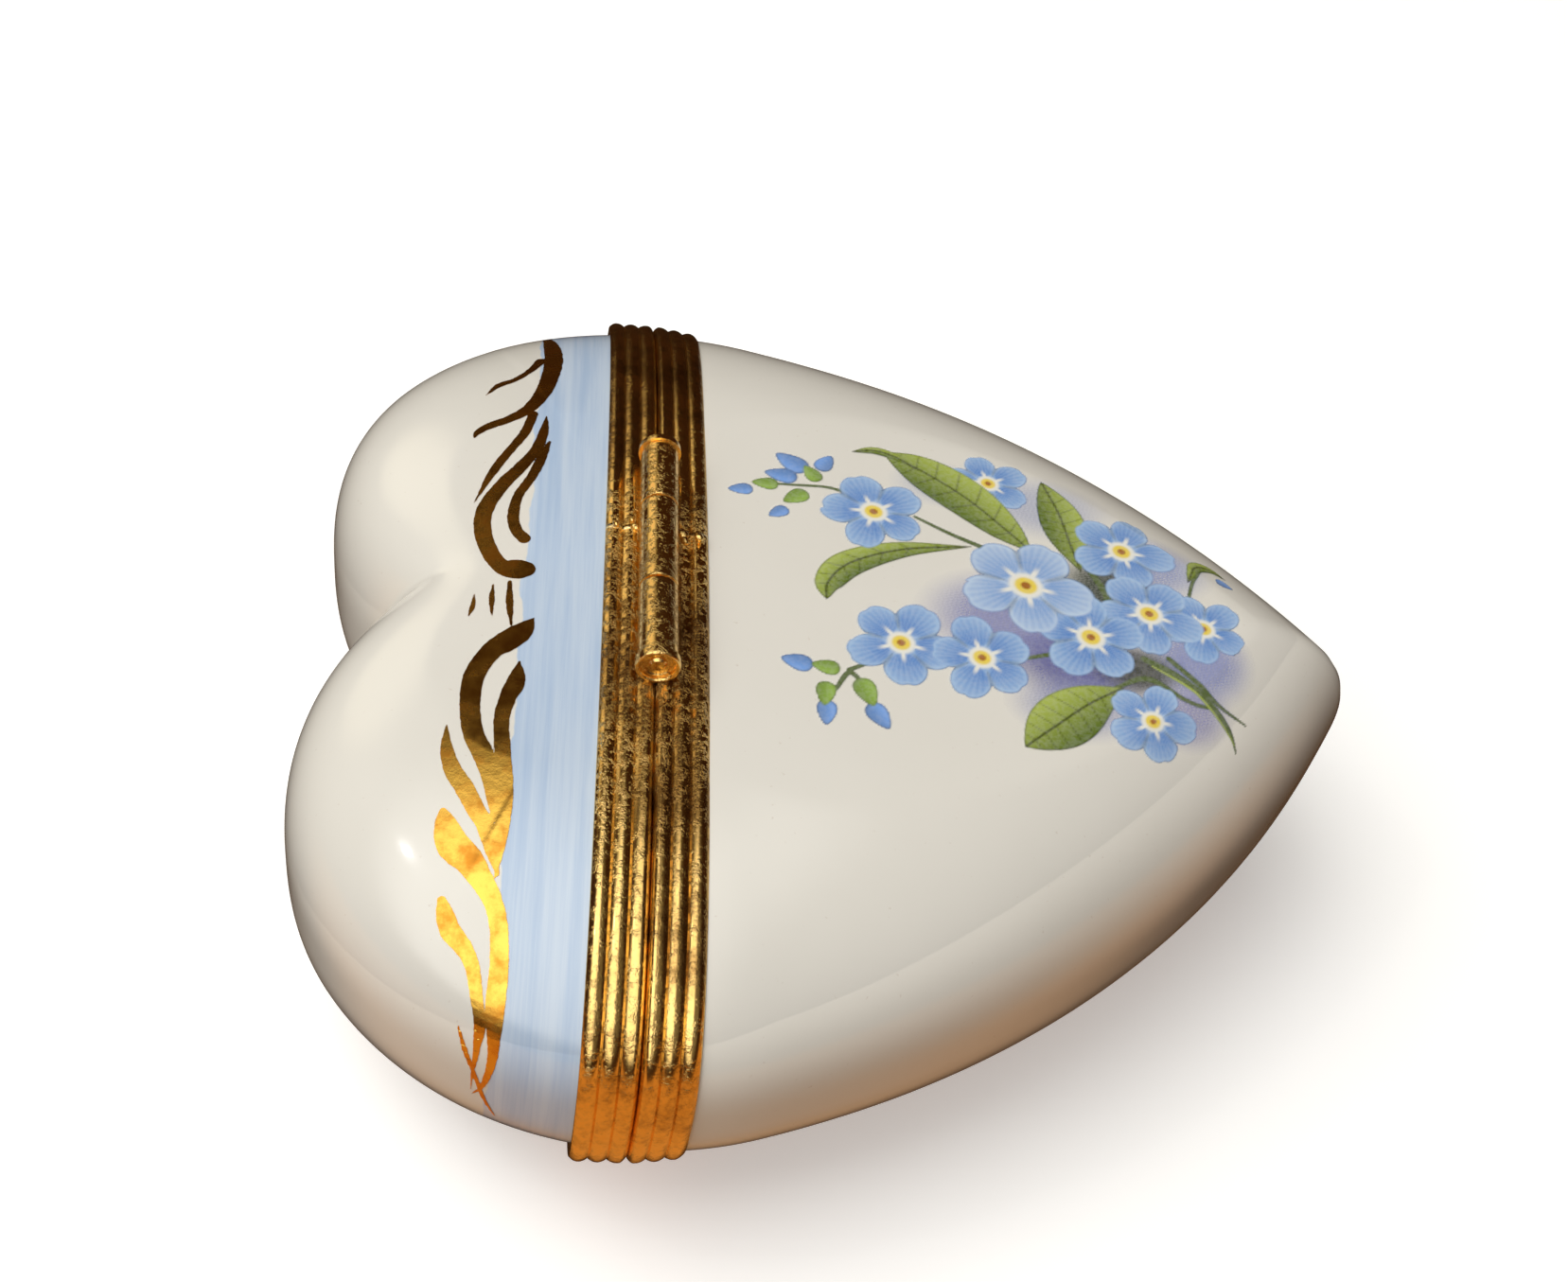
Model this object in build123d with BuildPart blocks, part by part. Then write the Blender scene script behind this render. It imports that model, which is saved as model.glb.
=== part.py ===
from build123d import *
import os
from math import atan2, cos, pi, radians, sin, sqrt

os.makedirs("parts", exist_ok=True)

# A hinged porcelain box in the shape of a puffed heart, lying on its clasp with the hinge on top.
# +X runs from the lobes to the tip, +Z is up, and the heart is symmetrical about the plane y = 0.

# ---- overall sizes
heart_length = 62.5  # from the ends of the lobes to the tip
body_thickness = 20.2  # through the middle of the porcelain, bottom to top
wall = 2.4  # porcelain

# ---- outline of the heart at its widest level, as arcs that run from the tip round to the cleft
tip_radius = 0.0194 * heart_length
flank_radius = 1.071 * heart_length
shoulder_radius = 0.3338 * heart_length
lobe_radius = 0.2647 * heart_length
cleft_radius = 0.010 * heart_length
flank_start = radians(32.9)  # direction of the outward normal where the tip meets the flank
flank_end = radians(72.5)
shoulder_end = radians(143.3)

# ---- how the porcelain rounds over: distance in from the outline, and height over half thickness
rounding = [(0, 0), (0.22, 0.22), (0.8, 0.39), (2.15, 0.54), (4.3, 0.667)]
# ---- then its crown: the last outline shrunk by a share, and height over half thickness
crown = [(0.895, 0.764), (0.774, 0.843), (0.653, 0.894), (0.516, 0.937), (0.33, 0.974), (0.14, 0.995)]

# ---- the brass strips round the two openings
seam_from_tip = 0.693 * heart_length
strip_width = 2.95
strip_thickness = 0.28  # between the reeds
reed_height = 0.25
reed_count = 3
reed_width = 0.78
flange = 0.5  # turned in over the porcelain's cut edge
cement = 0.15  # between the strip and the porcelain
seam_gap = 0.08

# ---- the barrel hinge
barrel_radius = 1.1
barrel_length = 16.4
near_share = 0.33
middle_share = 0.39
knuckle_gap = 0.12
axis_above_strip = 0.75
pin_radius = 0.5
pin_clearance = 0.05
ring_radius = barrel_radius + 0.15
ring_length = 0.5
turning_room = 0.25

# ---- the clasp under the seam
plaque_length = 14.0
plaque_width = 11.0
plaque_thickness = 0.9
plaque_reach = 8.5  # past the seam towards the tip
plaque_gap = 0.8  # between the plaque and the strips
post_length = 1.8
post_width = 5.0
bead_radius = 1.1
bead_height = 0.45

half_thickness = body_thickness / 2
strip_top = cement + strip_thickness + reed_height
middle_z = half_thickness + strip_top + plaque_gap + plaque_thickness
tip_x = heart_length / 2
seam_x = tip_x - seam_from_tip
axis_z = middle_z + half_thickness + strip_top + axis_above_strip
half_gap = seam_gap / 2


def step_out(centre, radius, normal):
    """The point of an arc where its outward normal points this way."""
    return (centre[0] + radius * cos(normal), centre[1] + radius * sin(normal))


def heart_arcs(inset):
    """Half of the heart's outline, y >= 0, moved inwards by the inset, from the tip to the cleft.

    Each arc is its centre, its radius and the directions of its normal at its start and end.
    """
    joint = step_out((tip_x - tip_radius, 0), tip_radius, flank_start)
    flank_centre = step_out(joint, -flank_radius, flank_start)
    joint = step_out(flank_centre, flank_radius, flank_end)
    shoulder_centre = step_out(joint, -shoulder_radius, flank_end)
    joint = step_out(shoulder_centre, shoulder_radius, shoulder_end)
    lobe_centre = step_out(joint, -lobe_radius, shoulder_end)
    reach = lobe_radius + cleft_radius
    cleft_centre = (lobe_centre[0] - sqrt(reach**2 - lobe_centre[1] ** 2), 0)
    lobe_end = atan2(-lobe_centre[1], cleft_centre[0] - lobe_centre[0]) % (2 * pi)
    flank = flank_radius - inset
    tip_centre = (flank_centre[0] + sqrt((flank - tip_radius) ** 2 - flank_centre[1] ** 2), 0)
    tip_end = atan2(-flank_centre[1], tip_centre[0] - flank_centre[0])
    return [
        (tip_centre, tip_radius, 0, tip_end),
        (flank_centre, flank, tip_end, flank_end),
        (shoulder_centre, shoulder_radius - inset, flank_end, shoulder_end),
        (lobe_centre, lobe_radius - inset, shoulder_end, lobe_end),
        (cleft_centre, cleft_radius + inset, lobe_end - pi, 0),
    ]


def shrunk(arcs, share):
    """The same arcs drawn in towards the middle of the seam."""
    drawn_in = []
    for (x, y), radius, start, end in arcs:
        centre = (seam_x + (x - seam_x) * share, y * share)
        drawn_in.append((centre, radius * share, start, end))
    return drawn_in


def heart_levels(inset):
    """Half outlines and their heights, up from the widest level, of the heart less this inset."""
    half = half_thickness - inset
    levels = [(heart_arcs(inset + depth), half * rise) for depth, rise in rounding]
    last = levels[-1][0]
    levels += [(shrunk(last, share), half * rise) for share, rise in crown]
    return levels


def puffed_heart(inset):
    """The solid puffed heart whose surface lies this far inside the glazed outside."""
    upper = heart_levels(inset)
    lower = [(arcs, -height) for arcs, height in reversed(upper[1:])]
    with BuildPart() as body:
        for arcs, height in lower + upper:
            with BuildSketch(Plane.XY.offset(middle_z + height)):
                with BuildLine():
                    for centre, radius, start, end in arcs:
                        first = step_out(centre, radius, start)
                        halfway = step_out(centre, radius, (start + end) / 2)
                        ThreePointArc(first, halfway, step_out(centre, radius, end))
                    mirror(about=Plane.XZ)
                make_face()
        loft()
    return body.part


def half_width(arcs):
    """How far a half outline stands from the plane of symmetry at the seam."""
    for centre, radius, start, end in arcs:
        if step_out(centre, radius, end)[0] <= seam_x <= step_out(centre, radius, start)[0]:
            return centre[1] + sqrt(radius**2 - (seam_x - centre[0]) ** 2)


def seam_points(inset):
    """Half of the porcelain's cross-section at the seam, y >= 0, from the bottom to the top."""
    upper = [(half_width(arcs), height) for arcs, height in heart_levels(inset)]
    upper.append((0, upper[-1][1]))
    lower = [(width, -height) for width, height in reversed(upper[1:])]
    return [(width, middle_z + height) for width, height in lower + upper]


def seam_ring(outer_inset, inner_inset, start, end):
    """A ring that follows the cross-section at the seam, between two places along X."""
    with BuildPart() as ring:
        with BuildSketch(Plane.YZ.offset(start)):
            for inset, mode in ((outer_inset, Mode.ADD), (inner_inset, Mode.SUBTRACT)):
                with BuildLine():
                    Spline(*seam_points(inset), tangents=[(1, 0), (-1, 0)])
                    mirror(about=Plane.YZ)
                make_face(mode=mode)
        extrude(amount=end - start)
    return ring.part


def rod(radius, start, end):
    """A cylinder along the hinge axis."""
    with BuildPart() as piece:
        with BuildSketch(Plane.XZ.offset(-end)):
            with Locations((seam_x, axis_z)):
                Circle(radius)
        extrude(amount=end - start)
    return piece.part


# the spans of the barrel's three tubes along the hinge axis
usable = barrel_length - 2 * knuckle_gap
barrel_start = -barrel_length / 2
near_end = barrel_start + near_share * usable
middle_start = near_end + knuckle_gap
middle_end = middle_start + middle_share * usable
far_start = middle_end + knuckle_gap
barrel_end = barrel_length / 2
point_spans = [
    (barrel_start - ring_length, barrel_start, ring_radius),
    (barrel_start, near_end, barrel_radius),
    (far_start, barrel_end, barrel_radius),
    (barrel_end, barrel_end + ring_length, ring_radius),
]
lobe_spans = [(middle_start, middle_end, barrel_radius)]


def cut_seat(own_spans, other_spans):
    """Sinks the barrel's seat into a strip: tight for its own tubes, with room for the others."""
    for start, end, radius in other_spans:
        room = turning_room
        add(rod(radius + room, start - room, end + room), mode=Mode.SUBTRACT)
    for start, end, radius in own_spans:
        add(rod(radius, start, end), mode=Mode.SUBTRACT)


def reeded_strip(side):
    """The brass strip on one side of the seam: side is 1 towards the tip and -1 towards the lobes."""
    mouth = seam_x + side * half_gap
    back = seam_x + side * strip_width
    pitch = (strip_width - half_gap) / reed_count
    base_inset = -cement - strip_thickness
    with BuildPart() as strip:
        add(seam_ring(base_inset, -cement, min(mouth, back), max(mouth, back)))
        lip = mouth + side * flange
        add(seam_ring(base_inset, wall, min(mouth, lip), max(mouth, lip)))
        for number in range(reed_count):
            centre = mouth + side * pitch * (number + 0.5)
            start = centre - reed_width / 2
            add(seam_ring(-strip_top, base_inset, start, start + reed_width))
    return strip.part


# ---- the two porcelain halves
porcelain_edge = half_gap + flange
outside = puffed_heart(0)
cavity = puffed_heart(wall)

with BuildPart() as point_shell:
    add(outside)
    split(bisect_by=Plane.YZ.offset(seam_x + porcelain_edge), keep=Keep.TOP)
    add(cavity, mode=Mode.SUBTRACT)

with BuildPart() as lobe_shell:
    add(outside)
    split(bisect_by=Plane.YZ.offset(seam_x - porcelain_edge), keep=Keep.BOTTOM)
    add(cavity, mode=Mode.SUBTRACT)

# ---- the two reeded strips
with BuildPart() as point_rim:
    add(reeded_strip(1))
    cut_seat(point_spans, lobe_spans)

with BuildPart() as lobe_rim:
    add(reeded_strip(-1))
    cut_seat(lobe_spans, point_spans)


# ---- the hinge
def tube(start, end):
    """A barrel tube with its bore."""
    with BuildPart() as piece:
        with BuildSketch(Plane.XZ.offset(-end)):
            with Locations((seam_x, axis_z)):
                Circle(barrel_radius)
                Circle(pin_radius + pin_clearance, mode=Mode.SUBTRACT)
        extrude(amount=end - start)
    return piece.part


def end_ring(start, end):
    """The rolled ring that closes one end of the barrel."""
    with BuildPart() as piece:
        with BuildSketch(Plane.XZ.offset(-end)):
            with Locations((seam_x, axis_z)):
                Circle(ring_radius)
                Circle(pin_radius, mode=Mode.SUBTRACT)
        extrude(amount=end - start)
        circles = piece.edges().filter_by(GeomType.CIRCLE)
        outer_edges = [edge for edge in circles if edge.radius > barrel_radius]
        fillet(outer_edges, ring_length * 0.4)
    return piece.part


with BuildPart() as knuckle_near:
    add(tube(barrel_start, near_end))

with BuildPart() as knuckle_middle:
    add(tube(middle_start, middle_end))

with BuildPart() as knuckle_far:
    add(tube(far_start, barrel_end))

with BuildPart() as hinge_pin:
    add(rod(pin_radius, barrel_start - ring_length * 0.7, barrel_end + ring_length * 0.7))

with BuildPart() as ring_near:
    add(end_ring(barrel_start - ring_length, barrel_start))

with BuildPart() as ring_far:
    add(end_ring(barrel_end, barrel_end + ring_length))

# ---- the clasp
strip_bottom = middle_z - half_thickness - strip_top
plaque_centre = seam_x + plaque_reach - plaque_length / 2

with BuildPart() as clasp_plaque:
    with BuildSketch(Plane.XY):
        with Locations((plaque_centre, 0)):
            Ellipse(plaque_length / 2, plaque_width / 2)
    extrude(amount=plaque_thickness)
    fillet(clasp_plaque.edges().group_by(Axis.Z)[0], plaque_thickness * 0.25)

with BuildPart() as clasp_post:
    with BuildSketch(Plane.XY.offset(plaque_thickness)):
        with Locations((seam_x - strip_width / 2, 0)):
            Rectangle(post_length, post_width)
    extrude(amount=plaque_gap + reed_height + strip_thickness / 2)
    add(lobe_rim.part, mode=Mode.SUBTRACT)

with BuildPart() as clasp_bead:
    with BuildSketch(Plane.XY.offset(strip_bottom - bead_height)):
        with Locations((seam_x + strip_width / 2, 0)):
            Circle(bead_radius)
    extrude(amount=bead_height + reed_height + strip_thickness / 2)
    fillet(clasp_bead.edges().group_by(Axis.Z)[0], bead_height * 0.8)
    add(point_rim.part, mode=Mode.SUBTRACT)

pieces = {
    "point_shell": point_shell,
    "lobe_shell": lobe_shell,
    "point_rim": point_rim,
    "lobe_rim": lobe_rim,
    "knuckle_near": knuckle_near,
    "knuckle_middle": knuckle_middle,
    "knuckle_far": knuckle_far,
    "hinge_pin": hinge_pin,
    "ring_near": ring_near,
    "ring_far": ring_far,
    "clasp_plaque": clasp_plaque,
    "clasp_post": clasp_post,
    "clasp_bead": clasp_bead,
}
for name, piece in pieces.items():
    piece.part.label = name
    export_step(piece.part, f"parts/{name}.step")
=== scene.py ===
# %% [markdown]
# A puffed porcelain heart, split across its lobes and hinged like a little book.
# The CAD frame gives every place and size. This lesson adds what the eye looks for: the soft
# swell of the porcelain, the rolled reeds of the brass strips, the gilding and the flowers.

# %% load the frame
import math

import bpy
import numpy as np
from mathutils import Matrix, Vector


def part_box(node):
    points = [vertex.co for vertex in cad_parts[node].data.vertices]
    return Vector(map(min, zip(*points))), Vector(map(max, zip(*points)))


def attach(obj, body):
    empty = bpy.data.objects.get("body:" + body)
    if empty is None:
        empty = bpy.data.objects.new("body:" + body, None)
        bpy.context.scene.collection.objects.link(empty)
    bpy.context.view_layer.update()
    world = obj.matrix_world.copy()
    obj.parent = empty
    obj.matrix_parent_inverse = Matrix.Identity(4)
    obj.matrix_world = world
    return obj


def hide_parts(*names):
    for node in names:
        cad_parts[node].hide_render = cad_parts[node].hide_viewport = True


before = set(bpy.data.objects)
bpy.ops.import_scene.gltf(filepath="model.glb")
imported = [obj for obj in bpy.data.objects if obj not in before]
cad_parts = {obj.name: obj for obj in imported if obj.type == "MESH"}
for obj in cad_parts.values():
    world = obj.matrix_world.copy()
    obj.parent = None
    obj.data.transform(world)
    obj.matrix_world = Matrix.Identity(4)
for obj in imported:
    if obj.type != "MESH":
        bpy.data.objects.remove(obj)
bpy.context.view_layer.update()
MM = 0.001

# %% [markdown]
# Measures come from the CAD nodes: where the seam is, how high the middle of the porcelain
# lies, and where the hinge runs. Everything below is placed from these few numbers.

# %% measures from the CAD
shell_low, shell_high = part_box("point_shell")
pin_low, pin_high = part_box("hinge_pin")
TIP = shell_high[0]
LENGTH = TIP * 2
SEAM = (pin_low[0] + pin_high[0]) / 2
AXIS_Z = (pin_low[2] + pin_high[2]) / 2
MIDDLE = (shell_low[2] + shell_high[2]) / 2
HALF = 10.1 * MM
WALL = 2.4 * MM
STRIP_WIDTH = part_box("point_rim")[1][0] - SEAM
print("seam", SEAM, "middle height", MIDDLE, "hinge axis height", AXIS_Z)

# %% [markdown]
# The heart's outline at its widest level is five arcs a side: a small one at the tip, the long
# flank, the shoulder, the lobe and a tiny hollow one in the cleft. Points along those arcs,
# turned into distances from the middle of the seam, say how far the heart reaches in each
# direction.

# %% the outline of the heart


def step_out(centre, radius, normal):
    """The point of an arc where its outward normal points this way."""
    return (centre[0] + radius * math.cos(normal), centre[1] + radius * math.sin(normal))


def heart_reach():
    """Directions from the middle of the seam, and how far the outline lies in each."""
    tip_radius, flank_radius = 0.0194 * LENGTH, 1.071 * LENGTH
    shoulder_radius, lobe_radius, cleft_radius = 0.3338 * LENGTH, 0.2647 * LENGTH, 0.01 * LENGTH
    turns = [0, math.radians(32.9), math.radians(72.5), math.radians(143.3)]
    centre = (TIP - tip_radius, 0)
    arcs = []
    for radius, start, end in zip(
        (tip_radius, flank_radius, shoulder_radius), turns, turns[1:]
    ):
        if arcs:
            centre = step_out(step_out(*arcs[-1][:2], arcs[-1][3]), -radius, start)
        arcs.append((centre, radius, start, end))
    centre = step_out(step_out(*arcs[-1][:2], turns[-1]), -lobe_radius, turns[-1])
    hollow = (centre[0] - math.sqrt((lobe_radius + cleft_radius) ** 2 - centre[1] ** 2), 0)
    lobe_end = math.atan2(-centre[1], hollow[0] - centre[0]) % (2 * math.pi)
    arcs.append((centre, lobe_radius, turns[-1], lobe_end))
    arcs.append((hollow, cleft_radius, lobe_end - math.pi, 0))
    points = []
    for centre, radius, start, end in arcs:
        for turn in np.linspace(start, end, 240):
            points.append(step_out(centre, radius, turn))
    points = np.array(points) - (SEAM, 0)
    angles = np.unwrap(np.arctan2(points[:, 1], points[:, 0]))
    return np.maximum.accumulate(angles), np.hypot(points[:, 0], points[:, 1])


REACH_ANGLES, REACH = heart_reach()
even = np.linspace(0, math.pi, 721)
even_reach = np.interp(even, REACH_ANGLES, REACH)
mirrored = np.concatenate([even_reach, even_reach[-2:0:-1]])
spread = np.exp(-0.5 * (np.arange(-120, 121) / 44.0) ** 2)
spread /= spread.sum()
ring = np.concatenate([mirrored[-120:], mirrored, mirrored[:120]])
SOFT_REACH = np.convolve(ring, spread, mode="valid")[:721]
print("reach of tip, side and cleft in mm", even_reach[[0, 360, 720]] / MM)

# %% [markdown]
# The porcelain is puffed like a cushion. Going up from the widest level, the outline is drawn
# in, slowly at the tip and lobes and faster at the two sides, and then a shallow crown closes
# the top. The crease of the cleft fades as it climbs, so the outline is softened on the way.

# %% the puffed shape
PUFF_X, PUFF_Y = 0.305 * LENGTH, 0.698 * LENGTH
EDGE_SHARE = 0.62
CROWN_START = 0.55
SWELL, BULGE, FLATTEN, TAPER = 1.015, 3.27, 0.34, 0.044


def side_height(share):
    """How high the side has climbed where the outline is drawn in to this share of itself."""
    return HALF * SWELL * (1 - share**BULGE) ** FLATTEN


def puffed(angle, rise):
    """Places on the porcelain for directions round the seam and rises from -1 to 1."""
    angle, rise = np.broadcast_arrays(np.asarray(angle, float), np.asarray(rise, float))
    side = np.abs(np.arctan2(np.sin(angle), np.cos(angle)))
    climb = np.abs(rise)
    lower = np.clip(climb / CROWN_START, 0, 1)
    share = 1 - (1 - EDGE_SHARE) * lower**2.2
    crown = np.clip((climb - CROWN_START) / (1 - CROWN_START), 0, 1)
    shrink = 1 - crown
    soften = np.clip((1 - share) / (1 - EDGE_SHARE), 0, 1)
    soften = soften * soften * (3 - 2 * soften)
    sharp = np.interp(side, even, even_reach)
    soft = np.interp(side, even, SOFT_REACH)
    reach = sharp + (soft - sharp) * soften * (side > 2.0)
    ellipse = 1 / np.hypot(np.cos(side) / PUFF_X, np.sin(side) / PUFF_Y)
    stretch = share**TAPER
    distance = (stretch * reach - (stretch - share) * ellipse) * shrink
    height = side_height(share) + (HALF - side_height(EDGE_SHARE)) * (1 - shrink**2)
    x = SEAM + distance * np.cos(angle)
    y = distance * np.sin(angle)
    return np.stack([x, y, MIDDLE + np.sign(rise) * height], axis=-1)


print("top of the crown", puffed(0.0, 1.0) / MM)

# %% [markdown]
# A few everyday helpers follow. Operators act on whatever is selected, so each step begins by
# clearing the selection. Vertices are read and written as one block of numbers.

# %% helpers


def only(piece):
    """Selects one object and nothing else."""
    bpy.ops.object.select_all(action="DESELECT")
    piece.select_set(True)
    bpy.context.view_layer.objects.active = piece


def corners(piece):
    """The places of a mesh's vertices."""
    block = np.empty(len(piece.data.vertices) * 3)
    piece.data.vertices.foreach_get("co", block)
    return block.reshape(-1, 3)


def place(piece, points):
    """Moves a mesh's vertices."""
    piece.data.vertices.foreach_set("co", np.ascontiguousarray(points, dtype=float).ravel())
    piece.data.update()


def finish_mesh(piece, angle=40):
    """Turns the faces outwards and shades them smoothly."""
    only(piece)
    bpy.ops.object.mode_set(mode="EDIT")
    bpy.ops.mesh.select_all(action="SELECT")
    bpy.ops.mesh.remove_doubles(threshold=1e-7)
    bpy.ops.mesh.normals_make_consistent(inside=False)
    bpy.ops.object.mode_set(mode="OBJECT")
    bpy.ops.object.shade_smooth_by_angle(angle=math.radians(angle))


def apply_modifier(piece, kind, **settings):
    """Adds a modifier, sets it and applies it."""
    only(piece)
    modifier = piece.modifiers.new(kind.title(), kind)
    for name, value in settings.items():
        setattr(modifier, name, value)
    bpy.ops.object.modifier_apply(modifier=modifier.name)


bpy.ops.object.select_all(action="DESELECT")
print("helpers ready")

# %% [markdown]
# The porcelain starts as a ball. Its meridians become directions round the seam and its
# parallels become levels of the puffed heart, so one primitive gives a closed, evenly ribbed
# shell with its poles at the middle of the two broad faces.

# %% the porcelain body


def porcelain_ball(name):
    """A ball whose vertices are moved onto the puffed heart."""
    bpy.ops.object.select_all(action="DESELECT")
    bpy.ops.mesh.primitive_uv_sphere_add(segments=480, ring_count=128, radius=1.0)
    ball = bpy.context.object
    ball.name = name
    points = corners(ball)
    angle = np.arctan2(points[:, 1], points[:, 0])
    rise = np.arcsin(np.clip(points[:, 2], -1, 1)) / (math.pi / 2)
    place(ball, puffed(angle, rise))
    return ball


def keep_side(piece, cut_x, side):
    """Cuts a piece at a plane across X and keeps one side of it."""
    only(piece)
    bpy.ops.object.mode_set(mode="EDIT")
    bpy.ops.mesh.select_all(action="SELECT")
    bpy.ops.mesh.bisect(
        plane_co=(cut_x, 0, 0),
        plane_no=(1, 0, 0),
        clear_inner=side > 0,
        clear_outer=side < 0,
        threshold=1e-8,
    )
    bpy.ops.object.mode_set(mode="OBJECT")


EDGE = 0.54 * MM
point_porcelain = porcelain_ball("point_porcelain")
keep_side(point_porcelain, SEAM + EDGE, 1)
lobe_porcelain = porcelain_ball("lobe_porcelain")
keep_side(lobe_porcelain, SEAM - EDGE, -1)
for half in (point_porcelain, lobe_porcelain):
    finish_mesh(half, 60)
    half.data.materials.append(None)
    half.data.materials.append(None)
    apply_modifier(
        half, "SOLIDIFY", thickness=WALL, offset=-1.0, use_rim=True,
        material_offset=1, material_offset_rim=1,
    )
    bpy.ops.object.shade_smooth_by_angle(angle=math.radians(50))
    print(half.name, len(half.data.polygons), "faces")

# %% [markdown]
# Each brass strip is a ring with three rolled reeds. A torus is the natural start: its long way
# round follows the seam's cross-section, and its short way round becomes the strip's profile,
# over the reeds, down the back edge, under the strip and round the lip at the mouth. The
# strip's two edges are rounded off, and the pointed half's leans away from the seam.

# %% the cross-section at the seam
REEDS = 3


def seam_loop(count):
    """Points and outward normals round the porcelain's cross-section at the seam."""
    rises = np.concatenate([np.linspace(-1, 1, 400), np.linspace(1, -1, 400)[1:-1]])
    sides = np.concatenate([np.full(400, math.pi / 2), np.full(398, -math.pi / 2)])
    loop = puffed(sides, rises)[:, 1:]
    loop = np.vstack([loop, loop[:1]])
    run = np.concatenate([[0], np.cumsum(np.hypot(*np.diff(loop, axis=0).T))])
    along = np.linspace(0, run[-1], count + 1)[:-1]
    points = np.stack([np.interp(along, run, loop[:, 0]), np.interp(along, run, loop[:, 1])], 1)
    ahead = np.roll(points, -2, 0) - np.roll(points, 2, 0)
    ahead /= np.hypot(*ahead.T)[:, None]
    normals = np.stack([ahead[:, 1], -ahead[:, 0]], 1)
    return points, normals


def reed_profile(side):
    """The strip's closed profile, as distances from the seam and heights over the porcelain."""
    mouth, back = 0.04 * MM, STRIP_WIDTH
    base, top = 0.45 * MM, 0.66 * MM
    tilt = (0.34 if side > 0 else 0.02) * MM
    mouth_round, mouth_drop = 0.36 * MM, 0.30 * MM
    back_round, back_drop = 0.45 * MM, 0.24 * MM
    pitch = (back - mouth) / REEDS
    places = np.linspace(mouth, back, 73)
    within = ((places - mouth) / pitch) % 1.0
    within[-1] = 1.0
    bow = np.cos(math.pi * np.clip(within - 0.5, -0.5, 0.5)) ** 0.7
    bow[places < mouth + pitch / 2] = 1
    bow[places > back - pitch / 2] = 1
    fall = tilt * (places / back) ** 1.4
    fall += mouth_drop * np.clip(1 - (places - mouth) / mouth_round, 0, 1) ** 2
    fall += back_drop * np.clip(1 - (back - places) / back_round, 0, 1) ** 2
    outer = [(a, base + (top - base) * b - c) for a, b, c in zip(places, bow, fall)]
    under = [(back, 0.05 * MM), (back - 0.1 * MM, -0.05 * MM), (EDGE, -0.05 * MM)]
    lip = [(EDGE, -WALL), (mouth, -WALL)]
    points = outer + under + lip
    return np.array([(SEAM + side * a, h) for a, h in points])


def reeded_strip(name, side):
    """A torus drawn out into the strip on one side of the seam."""
    around, normals = seam_loop(560)
    profile = reed_profile(side)
    bpy.ops.object.select_all(action="DESELECT")
    bpy.ops.mesh.primitive_torus_add(
        major_segments=len(around), minor_segments=len(profile), major_radius=2, minor_radius=1
    )
    strip = bpy.context.object
    strip.name = name
    points = corners(strip)
    turn = np.arctan2(points[:, 1], points[:, 0]) % (2 * math.pi)
    long_way = np.rint(turn / (2 * math.pi) * len(around)).astype(int) % len(around)
    out = np.hypot(points[:, 0], points[:, 1]) - 2
    short = np.arctan2(points[:, 2], out) % (2 * math.pi)
    short_way = np.rint(short / (2 * math.pi) * len(profile)).astype(int) % len(profile)
    x, height = profile[short_way].T
    yz = around[long_way] + normals[long_way] * height[:, None]
    place(strip, np.column_stack([x, yz]))
    finish_mesh(strip, 50)
    return strip


point_strip = reeded_strip("point_strip", 1)
lobe_strip = reeded_strip("lobe_strip", -1)
print("strips", len(point_strip.data.polygons), len(lobe_strip.data.polygons))

# %% [markdown]
# The hinge's parts are all turned work: drawn tubes, a pin and two rolled end rings. Each is a
# flat profile spun round the hinge axis, which gives true round edges.

# %% turned parts of the hinge
BARREL, BORE, PIN, ROLL = 1.1, 0.55, 0.5, 0.15


def turned(name, profile, steps=72):
    """Spins a closed profile of (place along Y, radius) in millimetres round the hinge axis."""
    bpy.ops.object.select_all(action="DESELECT")
    bpy.ops.mesh.primitive_circle_add(vertices=len(profile), radius=1.0, fill_type="NOTHING")
    piece = bpy.context.object
    piece.name = name
    places = [(SEAM, along * MM, AXIS_Z + radius * MM) for along, radius in profile]
    place(piece, np.array(places))
    only(piece)
    bpy.ops.object.mode_set(mode="EDIT")
    bpy.ops.mesh.select_all(action="SELECT")
    bpy.ops.mesh.spin(
        steps=steps, angle=2 * math.pi, center=(SEAM, 0, AXIS_Z), axis=(0, 1, 0), dupli=False
    )
    bpy.ops.object.mode_set(mode="OBJECT")
    only(piece)
    bpy.ops.object.transform_apply(location=True, rotation=True, scale=True)
    finish_mesh(piece, 35)
    return piece


def tube_profile(node):
    """A drawn tube: its ends are softened, and rings beside them keep its wall straight."""
    low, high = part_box(node)
    start, end = low[1] / MM, high[1] / MM
    soft = 0.1
    first = [(start, BARREL - soft), (start + soft * 0.3, BARREL - soft * 0.3)]
    first += [(start + soft, BARREL), (start + soft + 0.05, BARREL)]
    last = [(start + end - along, radius) for along, radius in reversed(first)]
    wall = [(along, BARREL) for along in np.linspace(start + 0.4, end - 0.4, 9)]
    return [(start, BORE), *first, *wall, *last, (end, BORE)]


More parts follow.
